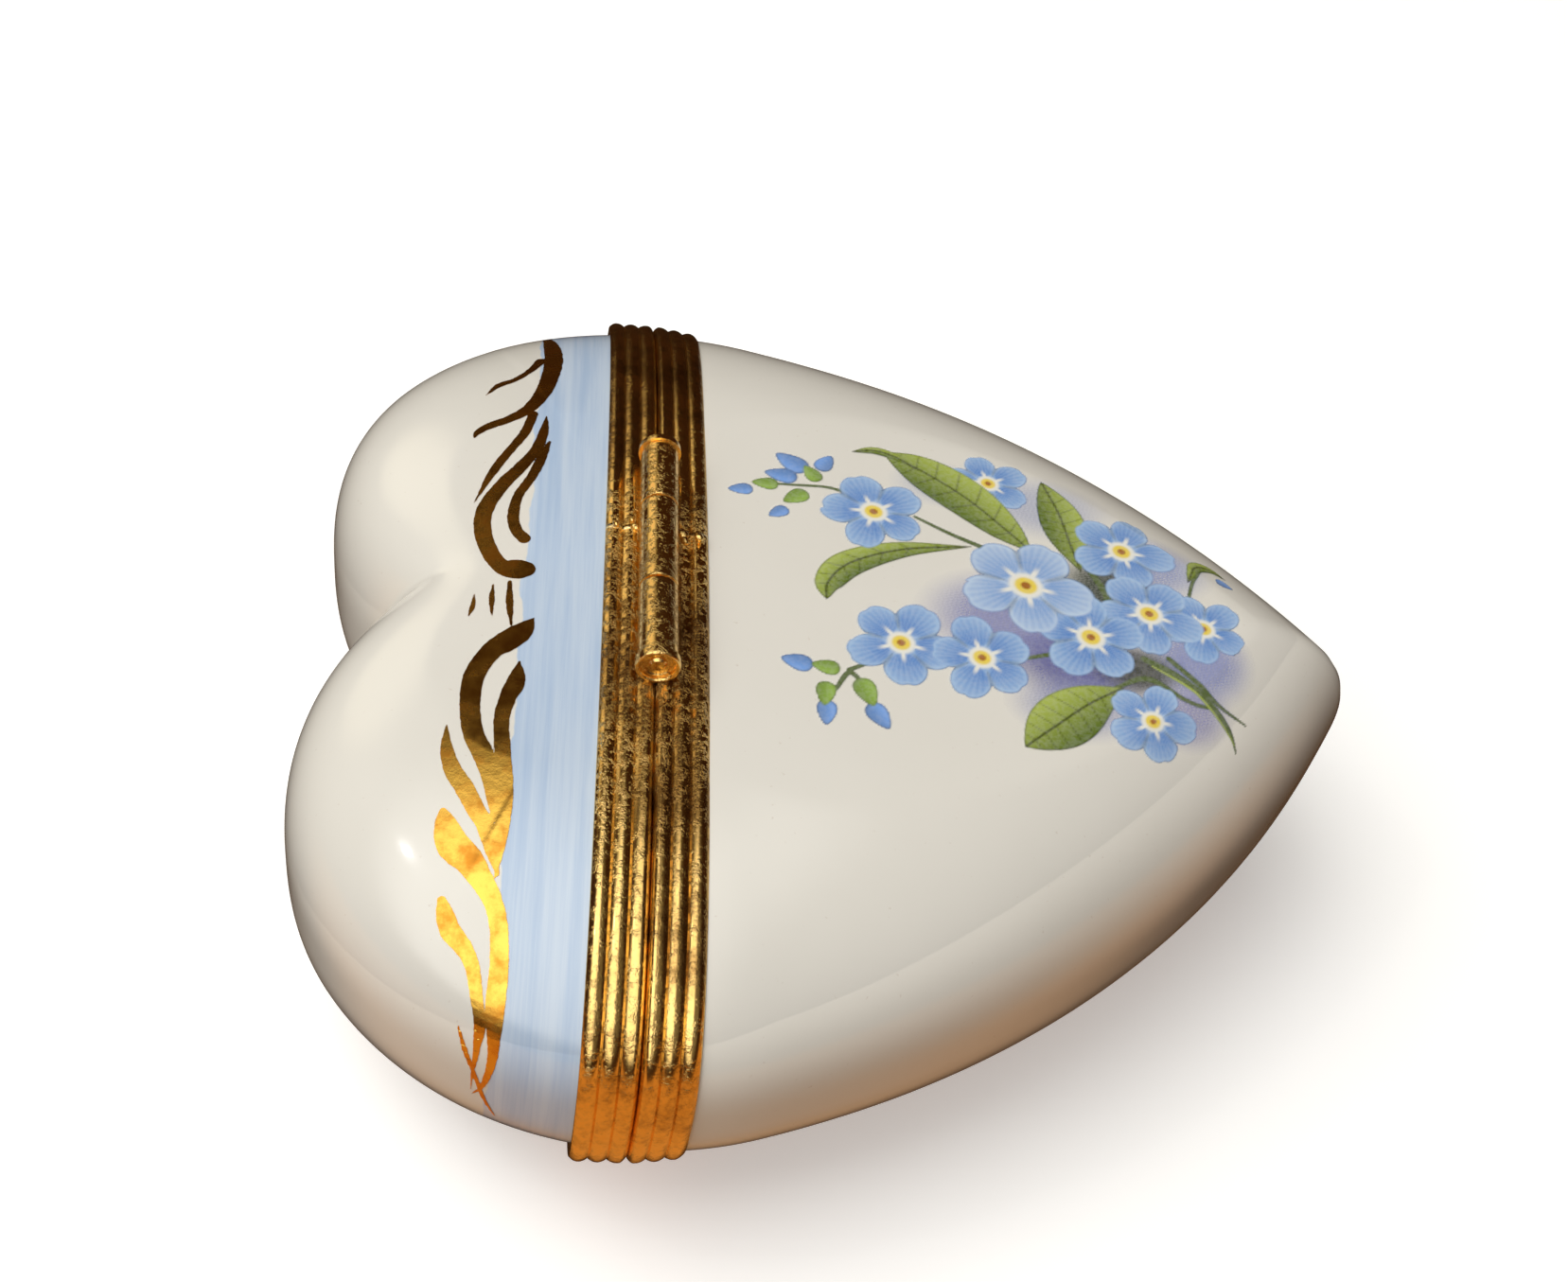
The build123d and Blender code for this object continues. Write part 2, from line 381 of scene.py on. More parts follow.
def ring_profile(node, out):
    """An end ring with a thin rolled lip round a sunken disc. It faces out along Y."""
    low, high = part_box(node)
    near, far = (low[1] / MM, high[1] / MM) if out > 0 else (high[1] / MM, low[1] / MM)
    depth = abs(far - near)
    floor_at = near + out * depth * 0.2
    points = [(near, PIN), (near, BARREL + ROLL)]
    for turn in np.linspace(0, math.pi, 14):
        lift = depth * (0.6 + 0.4 * math.sin(turn))
        points.append((near + out * lift, BARREL + ROLL * math.cos(turn)))
    points += [(near + out * depth * 0.3, 0.93), (floor_at, 0.86), (floor_at, 0.7)]
    return [*points, (floor_at, PIN)]


barrel = []
for node in ("knuckle_near", "knuckle_middle", "knuckle_far"):
    barrel.append(turned(node + "_tube", tube_profile(node)))
barrel.append(turned("ring_near_roll", ring_profile("ring_near", -1)))
barrel.append(turned("ring_far_roll", ring_profile("ring_far", 1)))
pin_start, pin_end = pin_low[1] / MM, pin_high[1] / MM
pin_rod = turned(
    "pin_rod",
    [
        (pin_start, 0.02), (pin_start + 0.02, 0.36), (pin_start + 0.14, 0.48),
        (pin_start + 0.3, PIN), (pin_end - 0.3, PIN), (pin_end - 0.14, 0.48),
        (pin_end - 0.02, 0.36), (pin_end, 0.02),
    ],
)
print("turned", [piece.name for piece in barrel], pin_rod.name)

# %% [markdown]
# Solder has run out beside the barrel, where the ends of the strips butt: a few small melted
# lumps on each strip.

# %% solder
LUMPS = {
    "point_solder": [(1.35, 2.5, 0.42), (1.55, 1.9, 0.26), (2.35, 2.3, 0.3), (1.3, 3.2, 0.22)],
    "lobe_solder": [(-1.3, 2.7, 0.3), (-1.5, 3.2, 0.18), (-2.4, 2.8, 0.22)],
}
solder = []
for name, lumps in LUMPS.items():
    bpy.ops.object.select_all(action="DESELECT")
    drops = []
    for x, y, size in lumps:
        bpy.ops.mesh.primitive_ico_sphere_add(
            subdivisions=4,
            radius=1.0,
            location=(SEAM + x * MM, y * MM, MIDDLE + HALF + 0.62 * MM),
            scale=(size * 0.8 * MM, size * 1.15 * MM, 0.24 * MM),
            rotation=(0, 0, size * 2),
        )
        drops.append(bpy.context.object)
    for drop in drops:
        drop.select_set(True)
    bpy.ops.object.join()
    bpy.ops.object.transform_apply(location=True, rotation=True, scale=True)
    lump = bpy.context.object
    lump.name = name
    finish_mesh(lump, 60)
    solder.append(lump)
print("solder", [lump.name for lump in solder])

# %% [markdown]
# The clasp lies underneath. Its plaque is a fluted shell: a ball pressed flat, scalloped round
# its edge and grooved on the face that it rests on.

# %% the clasp's plaque
FLUTES = 8
plaque_low, plaque_high = (Vector(corner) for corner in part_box("clasp_plaque"))
bpy.ops.object.select_all(action="DESELECT")
bpy.ops.mesh.primitive_uv_sphere_add(segments=192, ring_count=64, radius=1.0)
plaque_shell = bpy.context.object
plaque_shell.name = "plaque_shell"
unit = corners(plaque_shell)
spin = np.arctan2(unit[:, 1], unit[:, 0])
ring_out = np.hypot(unit[:, 0], unit[:, 1])
flute = 1 + 0.035 * (np.abs(np.cos(FLUTES * spin)) - 1)
flat_out = np.clip(ring_out / 0.96, 0, 1) ** 0.5
lift = np.sign(unit[:, 2]) * np.clip(np.abs(unit[:, 2]) / 0.28, 0, 1) ** 0.5
groove = 0.16 * (1 - np.abs(np.cos(FLUTES * spin))) ** 2 * np.clip(flat_out * 1.2 - 0.25, 0, 1)
lift = np.where(lift < 0, lift + groove * (1 - ring_out**6), lift)
middle_plaque = (plaque_low + plaque_high) / 2
half_plaque = (plaque_high - plaque_low) / 2
place(
    plaque_shell,
    np.column_stack(
        [
            middle_plaque.x + half_plaque.x * flute * ring_out * np.cos(spin),
            middle_plaque.y + half_plaque.y * flute * ring_out * np.sin(spin),
            middle_plaque.z + half_plaque.z * np.clip(lift, -1, 1),
        ]
    ),
)
finish_mesh(plaque_shell, 50)
print("plaque", len(plaque_shell.data.polygons))

# %% [markdown]
# The painting is a thin layer of enamel over the glaze. A fine grid is laid over the
# porcelain, each vertex is given its colour and cover by simple drawing rules, the bare faces
# are deleted, and the rest is pressed onto the porcelain with Shrinkwrap.

# %% laying a sheet on the porcelain
LAYER = 0.03 * MM
half_loop = puffed(math.pi / 2, np.linspace(1, -1, 4001))[:, 1:]
girth = np.concatenate([[0], np.cumsum(np.hypot(*np.diff(half_loop, axis=0).T))])


def lay_sheet(name, low, high, spacing):
    """A grid in millimetres: X along the heart, and the distance round from its top line."""
    count = [int(round((b - a) / spacing)) for a, b in zip(low, high)]
    bpy.ops.object.select_all(action="DESELECT")
    bpy.ops.mesh.primitive_grid_add(x_subdivisions=count[0], y_subdivisions=count[1], size=2)
    sheet = bpy.context.object
    sheet.name = name
    flat = corners(sheet)[:, :2]
    middle = (np.array(low) + np.array(high)) / 2
    half = (np.array(high) - np.array(low)) / 2
    return sheet, middle + flat * half


def wrap_sheet(sheet, flat, target, keep):
    """Bends the sheet over, presses it onto the porcelain and deletes its bare faces."""
    away = np.abs(flat[:, 1]) * MM
    y = np.interp(away, girth, half_loop[:, 0]) * np.sign(flat[:, 1])
    z = np.interp(away, girth, half_loop[:, 1])
    place(sheet, np.column_stack([flat[:, 0] * MM, y, z]))
    only(sheet)
    bpy.ops.object.mode_set(mode="EDIT")
    bpy.ops.mesh.select_all(action="DESELECT")
    bpy.ops.object.mode_set(mode="OBJECT")
    loops = np.empty(len(sheet.data.polygons) * 4, dtype=np.int64)
    sheet.data.polygons.foreach_get("vertices", loops)
    bare = ~keep[loops.reshape(-1, 4)].any(axis=1)
    sheet.data.polygons.foreach_set("select", bare)
    bpy.ops.object.mode_set(mode="EDIT")
    bpy.ops.mesh.select_mode(type="FACE")
    bpy.ops.mesh.delete(type="FACE")
    bpy.ops.mesh.select_mode(type="VERT")
    bpy.ops.object.mode_set(mode="OBJECT")
    apply_modifier(
        sheet, "SHRINKWRAP", target=target, wrap_method="NEAREST_SURFACEPOINT",
        wrap_mode="ABOVE_SURFACE", offset=LAYER,
    )
    only(sheet)
    bpy.ops.object.shade_smooth()


def soft_step(value, low, high):
    """0 below low, 1 above high and a smooth rise between."""
    t = np.clip((value - low) / (high - low), 0, 1)
    return t * t * (3 - 2 * t)


def smooth_path(points, per=14):
    """A smooth curve through a few points, as many."""
    points = np.array(points, dtype=float)
    ends = np.vstack([2 * points[0] - points[1], points, 2 * points[-1] - points[-2]])
    path = []
    for a, b, c, d in zip(ends, ends[1:], ends[2:], ends[3:]):
        for t in np.linspace(0, 1, per, endpoint=False):
            path.append(
                0.5 * (2 * b + (c - a) * t + (2 * a - 5 * b + 4 * c - d) * t**2
                       + (3 * b - a - 3 * c + d) * t**3)
            )
    path.append(points[-1])
    return np.array(path)


def stroke_depth(flat, points):
    """How deep each place lies inside a brush stroke given as (x, y, half width) points."""
    path = smooth_path(points)
    low, high = path[:, :2].min(0) - 1.5, path[:, :2].max(0) + 1.5
    depth = np.full(len(flat), -9.0)
    near = np.where(((flat > low) & (flat < high)).all(axis=1))[0]
    spot = flat[near]
    best = np.full(len(spot), -9.0)
    for (ax, ay, ar), (bx, by, br) in zip(path, path[1:]):
        run = np.array([bx - ax, by - ay])
        t = np.clip(((spot - (ax, ay)) @ run) / max(run @ run, 1e-9), 0, 1)
        gap = np.hypot(spot[:, 0] - ax - t * run[0], spot[:, 1] - ay - t * run[1])
        best = np.maximum(best, ar + (br - ar) * t - gap)
    depth[near] = best
    return depth


print("half way round in mm", girth[-1] / MM)

# %% [markdown]
# The gilding is a flat scroll painted in bright gold along the edge of the blue band. Every
# stroke is a swelling brush line through a few points: place along X, distance round from the
# top line, and half width, all in millimetres.

# %% the gold scroll
SCROLL = [
    [
        (-19.2, 25.0, 0.3), (-18.8, 22.6, 0.55), (-18.6, 20.0, 0.6), (-18.8, 17.4, 0.56),
        (-19.2, 15.4, 0.5), (-19.9, 13.7, 0.42), (-20.9, 12.6, 0.33), (-22.2, 11.7, 0.3),
        (-22.8, 11.1, 0.22), (-23.0, 10.5, 0.04),
    ],
    [
        (-19.4, 20.1, 0.35), (-20.0, 18.6, 0.25), (-20.9, 17.3, 0.22), (-21.9, 16.5, 0.25),
        (-22.6, 15.3, 0.04),
    ],
    [
        (-19.6, 13.2, 0.3), (-20.0, 11.3, 0.3), (-20.8, 9.5, 0.28), (-21.6, 7.7, 0.28),
        (-22.6, 4.8, 0.03),
    ],
    [
        (-18.8, 13.0, 0.06), (-18.9, 11.4, 0.3), (-19.3, 9.6, 0.35), (-20.1, 8.0, 0.4),
        (-21.1, 6.3, 0.45), (-21.9, 4.4, 0.5), (-22.0, 2.7, 0.52), (-21.5, 1.0, 0.5),
        (-20.7, -0.2, 0.55), (-19.9, -0.4, 0.75), (-19.4, -0.4, 0.6),
    ],
    [
        (-18.5, 10.5, 0.1), (-18.9, 9.0, 0.3), (-19.4, 7.2, 0.3), (-20.1, 5.5, 0.3),
        (-20.3, 3.9, 0.35), (-20.1, 2.7, 0.36), (-19.6, 2.0, 0.38),
    ],
    [(-22.1, -2.3, 0.03), (-22.1, -3.3, 0.16), (-22.3, -4.3, 0.03)],
    [(-21.1, -1.6, 0.04), (-21.1, -2.8, 0.17), (-21.0, -4.2, 0.04)],
    [(-20.2, -1.4, 0.12), (-20.1, -3.1, 0.22), (-19.9, -4.8, 0.06)],
    [
        (-18.7, -4.2, 0.04), (-19.3, -5.2, 0.6), (-20.0, -5.9, 0.72), (-20.9, -6.8, 0.6),
        (-21.6, -8.4, 0.58), (-21.7, -10.3, 0.55), (-21.4, -12.2, 0.55), (-20.8, -13.5, 0.55),
        (-20.3, -14.8, 0.5), (-20.1, -15.8, 0.42), (-19.9, -17.2, 0.2),
    ],
    [
        (-19.3, -7.4, 0.06), (-19.4, -8.7, 0.5), (-19.8, -10.0, 0.45), (-20.0, -11.4, 0.42),
        (-19.8, -13.4, 0.42), (-19.6, -15.1, 0.45), (-19.5, -16.4, 0.4), (-19.6, -18.3, 0.35),
        (-19.7, -20.3, 0.05),
    ],
    [
        (-22.8, -11.8, 0.05), (-22.7, -13.1, 0.32), (-22.3, -14.4, 0.46), (-21.6, -15.5, 0.5),
        (-21.0, -16.6, 0.48), (-20.4, -17.6, 0.45), (-20.0, -18.8, 0.38), (-19.6, -20.2, 0.08),
    ],
    [
        (-22.6, -16.8, 0.2), (-22.4, -17.6, 0.6), (-22.0, -18.6, 0.85), (-21.1, -19.5, 0.75),
        (-20.4, -20.5, 0.6), (-19.8, -21.5, 0.5), (-19.4, -22.9, 0.48), (-19.3, -25.0, 0.5),
        (-19.5, -27.1, 0.55), (-19.6, -28.7, 0.42), (-19.8, -30.7, 0.3), (-20.3, -33.2, 0.16),
        (-21.0, -34.6, 0.03),
    ],
    [
        (-22.4, -21.6, 0.25), (-22.2, -22.4, 0.52), (-21.9, -23.2, 0.6), (-21.2, -24.0, 0.5),
        (-20.7, -25.0, 0.42), (-20.5, -26.6, 0.38), (-20.4, -28.2, 0.36), (-20.7, -29.9, 0.24),
        (-21.0, -32.2, 0.12), (-21.1, -34.2, 0.03),
    ],
    [
        (-21.8, -28.8, 0.08), (-21.5, -30.6, 0.2), (-20.9, -32.4, 0.17), (-20.3, -34.2, 0.16),
        (-19.4, -36.2, 0.06),
    ],
]
scroll_gilding, flat = lay_sheet("scroll_gilding", (-23.6, -36.6), (-17.8, 26.0), 0.09)
depth = np.full(len(flat), -9.0)
for stroke in SCROLL:
    depth = np.maximum(depth, stroke_depth(flat, stroke))
layer = scroll_gilding.data.attributes.new("depth", "FLOAT", "POINT")
layer.data.foreach_set("value", depth)
wrap_sheet(scroll_gilding, flat, lobe_porcelain, depth > -0.12)
print("gilding", len(scroll_gilding.data.polygons), "faces")

# %% [markdown]
# The spray of forget-me-nots is painted back to front: a soft violet haze, stems, leaves with
# dark veins, the open flowers and last the buds. A flower has five petals that pale towards
# their edges, a white star, a yellow ring and a dark orange eye.

# %% painting rules


class Enamel:
    """Colour and cover for every vertex of a sheet, painted one layer over another."""

    def __init__(self, flat):
        self.flat = flat
        self.colour = np.full((len(flat), 3), 0.8)
        self.cover = np.zeros(len(flat))

    def lay(self, colour, cover):
        """Paints a colour, or one per vertex, with this cover from 0 to 1."""
        cover = np.clip(cover, 0, 1)
        total = cover + self.cover * (1 - cover)
        part = np.where(total > 1e-6, cover / np.maximum(total, 1e-6), 0)[:, None]
        self.colour = self.colour * (1 - part) + np.asarray(colour) * part
        self.cover = total

    def lay_on(self, index, colour, cover):
        """Paints only the vertices in the index."""
        whole, part = np.zeros_like(self.colour), np.zeros(len(self.flat))
        whole[index], part[index] = colour, cover
        self.lay(whole, part)


def blend(first, second, share):
    """Moves one colour towards another by a share for each vertex."""
    share = share[:, None]
    return np.asarray(first) * (1 - share) + np.asarray(second) * share


def grain(flat, across, along, seed):
    """Fine brush grain between 0 and 1, from a few crossed waves."""
    x, y = flat.T
    wave = np.sin(x * across + 1.7 * np.sin(y * along + seed))
    wave = wave + np.sin(y * across * 1.31 + 2.1 * np.sin(x * along * 0.9 + seed))
    return 0.5 + 0.25 * wave


def paint_leaf(enamel, points, width, light, dark):
    """A pointed leaf along a bent midrib, darker on one side, with veins."""
    path = smooth_path([(x, y, 0) for x, y in points], 20)[:, :2]
    spot = enamel.flat
    close_by = ((spot > path.min(0) - width - 1) & (spot < path.max(0) + width + 1)).all(axis=1)
    index = np.where(close_by)[0]
    here = spot[index]
    best = np.full(len(here), 99.0)
    share = np.zeros(len(here))
    signed = np.zeros(len(here))
    count = len(path) - 1
    for number, (a, b) in enumerate(zip(path, path[1:])):
        run = b - a
        t = np.clip(((here - a) @ run) / max(run @ run, 1e-9), 0, 1)
        off = here - a - t[:, None] * run
        gap = np.hypot(off[:, 0], off[:, 1])
        closer = gap < best
        best = np.where(closer, gap, best)
        share = np.where(closer, (number + t) / count, share)
        turn = run[0] * off[:, 1] - run[1] * off[:, 0]
        signed = np.where(closer, np.sign(turn) * gap, signed)
    wide = width * np.sin(math.pi * share**0.85) + 0.02
    inside = wide - best
    body = soft_step(inside, -0.05, 0.07)
    shade = 0.5 + 0.5 * np.clip(signed / (width * 0.8), -1, 1)
    vein = np.abs(np.sin((share * 9 + np.abs(signed) * 0.55 / width) * math.pi))
    lit = 1 - 0.45 * (1 - soft_step(vein, 0.0, 0.28)) * soft_step(inside, 0.0, 0.3)
    lit *= 1 - 0.7 * (1 - soft_step(best, 0.03, 0.12))
    lit *= 1 - 0.4 * (1 - soft_step(inside, 0.02, 0.16))
    enamel.lay_on(index, blend(dark, light, shade) * lit[:, None], body)


def paint_stroke(enamel, points, colour, cover=1.0):
    """A brush line."""
    enamel.lay(colour, cover * soft_step(stroke_depth(enamel.flat, points), -0.04, 0.05))


def paint_haze(enamel, x, y, wide, high, colour, cover):
    """A soft airbrushed patch."""
    gap = np.hypot((enamel.flat[:, 0] - x) / wide, (enamel.flat[:, 1] - y) / high)
    speck = 0.75 + 0.5 * grain(enamel.flat, 23.0, 9.0, x)
    enamel.lay(colour, cover * speck * (1 - soft_step(gap, 0.25, 1.0)))


def paint_flower(enamel, x, y, size, turn, pale=0.0, squash=1.0):
    """An open forget-me-not."""
    spot = enamel.flat - (x, y)
    spot = np.column_stack([spot[:, 0], spot[:, 1] / squash])
    distance = np.hypot(spot[:, 0], spot[:, 1]) / size
    near = np.where(distance < 1.25)[0]
    spot, distance = spot[near], distance[near]
    angle = np.arctan2(spot[:, 1], spot[:, 0]) - turn
    order = np.rint(angle / (2 * math.pi / 5))
    off = angle - order * 2 * math.pi / 5
    wobble = 1 + 0.05 * np.sin(order * 2.3 + x)
    px, py = distance * np.cos(off) / wobble, distance * np.sin(off)
    gap = np.hypot((px - 0.6) / 0.42, py / (0.40 + 0.03 * np.sin(order + y)))
    notch = 0.10 * np.exp(-((py / 0.09) ** 2)) * soft_step(px, 0.75, 0.98)
    inside = 1 - gap - notch
    throat = soft_step(0.38 - distance, 0.0, 0.06)
    petal = np.maximum(soft_step(inside, -0.03, 0.08), throat)
    edge = soft_step(inside, 0.02, 0.30)
    pale = np.array([pale])
    deep = blend((0.14, 0.30, 0.68), (0.30, 0.47, 0.80), pale)
    light = blend((0.46, 0.65, 0.90), (0.66, 0.79, 0.95), pale)
    hatch = 0.5 + 0.5 * np.sin(off * 46 + order)
    tone = edge * (0.22 + 0.26 * hatch + 0.50 * soft_step(distance, 0.95, 0.35))
    side = 0.12 * np.sin(off * 5 / 2 + 0.6)
    colour = blend(light, deep, np.clip(tone + side, 0, 1))
    rim = 1 - soft_step(inside, 0.03, 0.13)
    colour = blend(colour, (0.20, 0.36, 0.74), 0.55 * rim)
    crease = soft_step(np.abs(off), 0.50, 0.62) * soft_step(distance, 0.25, 0.4)
    colour = blend(colour, (0, 0, 0), 0.35 * crease)
    star = (1 - soft_step(np.abs(py), 0.02, 0.06)) * (1 - soft_step(distance, 0.30, 0.52))
    white = np.maximum(star, 1 - soft_step(distance, 0.22, 0.30))
    colour = blend(colour, (0.93, 0.93, 0.86), white)
    colour = blend(colour, (0.93, 0.72, 0.10), 1 - soft_step(distance, 0.14, 0.20))
    colour = blend(colour, (0.42, 0.16, 0.03), 1 - soft_step(distance, 0.055, 0.095))
    enamel.lay_on(near, colour, petal)


def paint_bud(enamel, x, y, length, turn, colour):
    """A closed bud: a small drop with a lighter side."""
    dx, dy = enamel.flat[:, 0] - x, enamel.flat[:, 1] - y
    along = dx * math.cos(turn) + dy * math.sin(turn)
    across = -dx * math.sin(turn) + dy * math.cos(turn)
    wide = length * (0.62 - 0.25 * np.clip(along / length, -1, 1))
    gap = np.hypot(along / length, across / wide)
    light = soft_step(across, -length * 0.4, length * 0.5)[:, None]
    tone = np.array(colour) * (0.8 + 0.35 * light)
    tone = tone * (1 - 0.35 * soft_step(gap, 0.75, 1.0))[:, None]
    enamel.lay(tone, 1 - soft_step(gap, 0.92, 1.06))


print("painting rules ready")

# %% [markdown]
# Colours are thought of as a painter mixes them, from 0 to 255, so one small helper turns them
# into the linear values that light works in.

# %% painting the spray


def tint(red, green, blue):
    """A painter's colour as linear light."""
    share = np.array([red, green, blue]) / 255
    return np.where(share > 0.04045, ((share + 0.055) / 1.055) ** 2.4, share / 12.92)


LEAF_LIGHT, LEAF_DARK = tint(178, 194, 92), tint(102, 122, 50)
STEM, BUD_GREEN, BUD_BLUE = tint(96, 112, 66), tint(146, 178, 82), tint(122, 164, 228)
bouquet_enamel, flat = lay_sheet("bouquet_enamel", (-8.6, -12.6), (24.4, 14.0), 0.1)
paint = Enamel(flat)

for x, y, wide, high, colour, cover in (
    (8.6, -1.6, 6.5, 4.6, (140, 146, 204), 0.62),
    (12.2, -4.6, 5.4, 3.4, (104, 106, 168), 0.75),
    (19.4, -3.6, 4.2, 3.8, (140, 152, 212), 0.6),
    (18.2, -7.4, 3.6, 3.0, (150, 152, 206), 0.5),
    (17.6, 4.0, 4.6, 3.4, (146, 160, 214), 0.5),
    (11.6, 8.4, 5.2, 3.4, (160, 172, 216), 0.35),
    (5.6, 9.6, 4.0, 2.4, (170, 184, 222), 0.3),
    (11.4, -7.6, 4.6, 3.0, (150, 158, 206), 0.45),
):
    paint_haze(paint, x, y, wide, high, tint(*colour), cover)

paint_flower(paint, 8.4, 10.2, 2.7, math.radians(30))
paint_haze(paint, 14.6, 1.6, 3.6, 3.4, tint(70, 78, 66), 0.8)
paint_haze(paint, 15.4, -4.6, 3.4, 2.2, tint(82, 84, 70), 0.85)
for stem in (
    [(-5.4, 8.2, 0.08), (-3.4, 8.3, 0.1), (-1.6, 8.3, 0.12), (0.2, 7.6, 0.12)],
    [(3.4, 6.4, 0.1), (5.4, 5.2, 0.14), (7.4, 4.2, 0.18)],
    [(-1.4, -6.4, 0.14), (-0.3, -5.8, 0.12), (0.8, -5.2, 0.1)],
    [(-2.2, -7.8, 0.12), (-1.4, -6.6, 0.16), (-0.6, -7.4, 0.12)],
    [(8.4, -4.6, 0.12), (10.4, -4.0, 0.16), (12.4, -3.4, 0.18)],
    [(13.6, 3.6, 0.2), (14.4, 1.4, 0.24), (14.6, -0.4, 0.22)],
    [(19.6, 1.4, 0.1), (20.2, 3.0, 0.12), (21.0, 4.2, 0.1)],
    [(14.0, -6.0, 0.12), (16.0, -5.2, 0.2), (18.2, -6.6, 0.16), (20.2, -6.9, 0.1)],
    [
        (16.0, -3.7, 0.22), (17.8, -4.8, 0.26), (19.6, -6.4, 0.22), (21.2, -8.2, 0.16),
        (22.1, -9.8, 0.05),
    ],
    [(17.5, -3.5, 0.18), (19.0, -5.2, 0.2), (20.4, -6.6, 0.14), (22.6, -7.7, 0.05)],
):
    paint_stroke(paint, stem, STEM)
glint = [(16.4, -4.2, 0.05), (18.4, -5.6, 0.09), (20.2, -7.4, 0.07), (21.8, -9.2, 0.03)]
paint_stroke(paint, glint, LEAF_LIGHT)

for width, midrib in (
    (1.45, [(11.9, 10.9), (12.6, 8.0), (12.9, 5.4), (13.2, 3.0)]),
    (1.75, [(2.0, 12.2), (4.2, 10.8), (6.8, 8.6), (9.0, 6.0), (10.4, 4.2)]),
    (0.34, [(0.0, 12.0), (1.4, 12.3), (2.8, 11.8), (4.0, 10.8)]),
    (0.98, [(-2.4, -1.2), (-2.2, 0.2), (-0.8, 1.9), (2.4, 3.4), (6.6, 4.2)]),
    (1.75, [(8.1, -10.8), (10.0, -9.2), (12.2, -7.4), (14.4, -6.0)]),
    (0.5, [(19.9, 3.0), (20.8, 4.6), (22.0, 5.0), (23.0, 4.4)]),
):
    paint_leaf(paint, midrib, width, LEAF_LIGHT, LEAF_DARK)

for x, y, size, turn, pale in (
    (16.1, 5.1, 3.25, 65, 0.05),
    (20.1, -0.9, 2.75, 40, 0.0),
    (16.9, -0.1, 3.25, 49, 0.1),
    (13.0, -2.4, 3.3, 15, 0.0),
    (0.9, 6.5, 3.25, 35, 0.0),
    (1.7, -4.1, 3.15, 57, 0.0),
    (6.3, -4.7, 3.05, 29, 0.0),
    (15.8, -8.3, 2.8, 67, 0.1),
    (9.6, 1.3, 4.0, 58, 0.75),
):
    paint_flower(paint, x, y, size, math.radians(turn), pale)

for x, y, length, turn, colour in (
    (-7.1, 7.5, 0.75, 185, BUD_BLUE), (-5.6, 8.2, 0.8, 178, BUD_GREEN),
    (-3.8, 7.2, 0.9, 215, BUD_GREEN), (-4.9, 5.7, 0.7, 215, BUD_BLUE),
    (-3.9, 10.4, 1.15, 140, BUD_BLUE), (-4.6, 9.1, 1.0, 170, BUD_BLUE),
    (-2.7, 9.5, 0.8, 120, BUD_GREEN), (-1.8, 10.6, 0.85, 60, BUD_BLUE),
    (-4.3, -6.1, 0.9, 165, BUD_BLUE), (-2.7, -6.3, 0.8, 170, BUD_GREEN),
    (-2.8, -9.5, 0.85, 265, BUD_BLUE), (-2.8, -8.2, 0.85, 262, BUD_GREEN),
    (0.1, -9.5, 0.95, 300, BUD_BLUE), (-0.5, -7.9, 1.0, 290, BUD_GREEN),
    (22.6, 3.6, 0.6, 330, BUD_BLUE),
):
    paint_bud(paint, x, y, length, math.radians(turn), colour)

for name, kind, values in (
    ("paint", "FLOAT_COLOR", np.column_stack([paint.colour, np.ones(len(flat))])),
    ("cover", "FLOAT", paint.cover),
):
    layer = bouquet_enamel.data.attributes.new(name, kind, "POINT")
    layer.data.foreach_set("color" if kind == "FLOAT_COLOR" else "value", values.ravel())
wrap_sheet(bouquet_enamel, flat, point_porcelain, paint.cover > 0.02)
print("bouquet", len(bouquet_enamel.data.polygons), "faces")

# %% [markdown]
# Materials are node graphs read in the object's own coordinates, which are in metres, so noise
# scales are high. A small class holds one graph and adds the usual parts to it.

# %% node graphs


